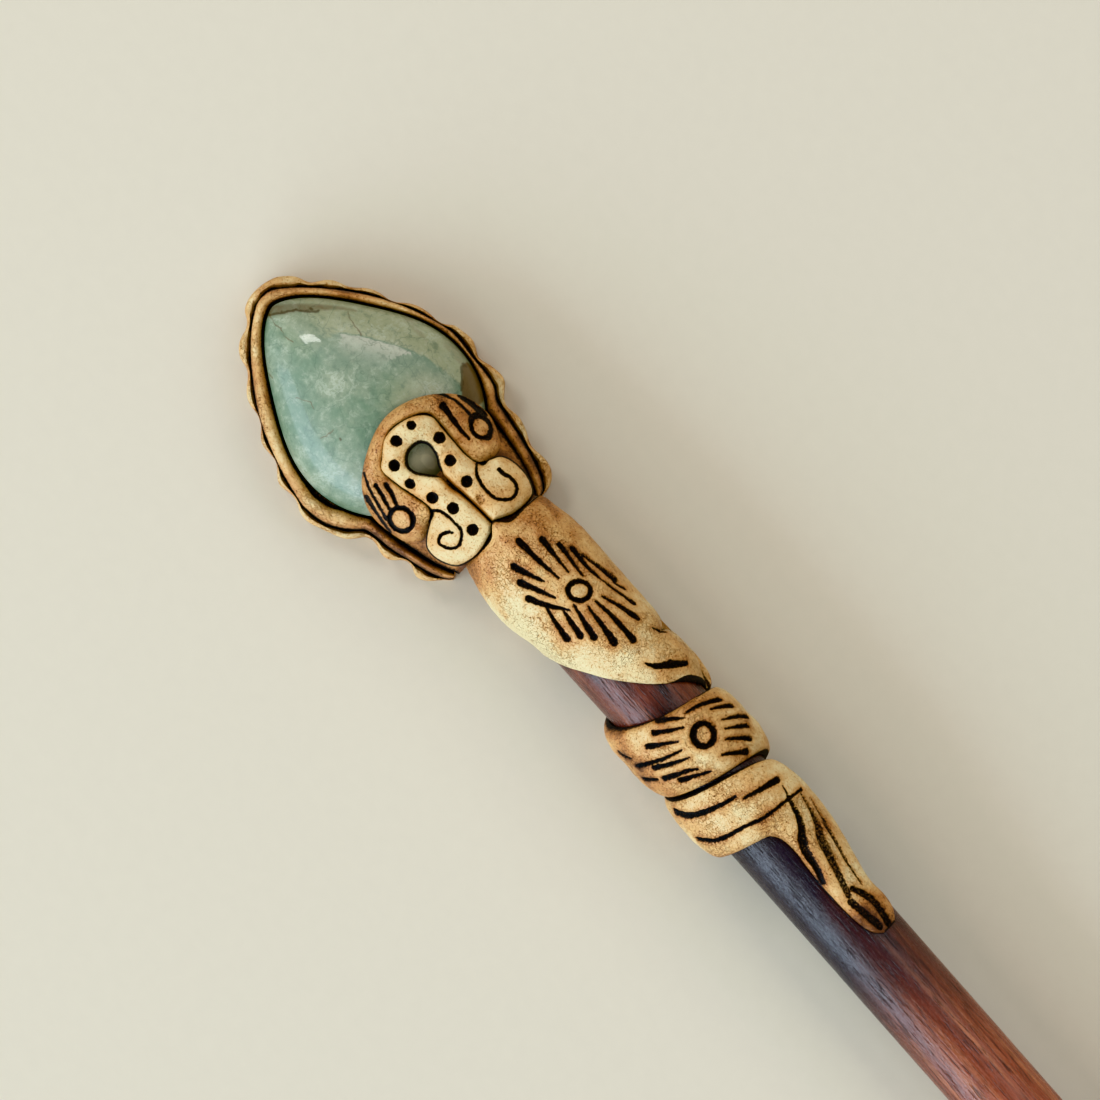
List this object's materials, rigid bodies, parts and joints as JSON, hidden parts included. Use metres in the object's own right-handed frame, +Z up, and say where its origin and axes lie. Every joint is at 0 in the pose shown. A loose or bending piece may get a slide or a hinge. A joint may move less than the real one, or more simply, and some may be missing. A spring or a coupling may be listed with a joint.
{
  "type": "hair stick",
  "caption": "Tapered wooden hair stick for pinning up a bun, with a sculpted clay head round a pear-shaped stone and a clay wrap that winds down the shaft.",
  "frame": {"origin": "middle of the outline's box, at the surface that it lies on", "axes": "+X along the stick, from the head to the tip; +Z up, out of the stone's dome; +Y to the left of somebody who looks along +X"},
  "size_m": [0.1804, 0.0242, 0.0124],
  "materials": {
    "wood": "satin",
    "clay": "satin",
    "clay_pale": "satin",
    "clay_brown": "satin",
    "stone": "polished"
  },
  "bodies": {
    "root": {"stick": "wood", "back_plate": "clay", "rim_strand": "clay", "stone": "stone", "bed": "clay_brown", "hood": "clay", "keyhole_band": "clay_pale", "sleeve": "clay", "coil_tail": "clay"}
  },
  "joints": []
}
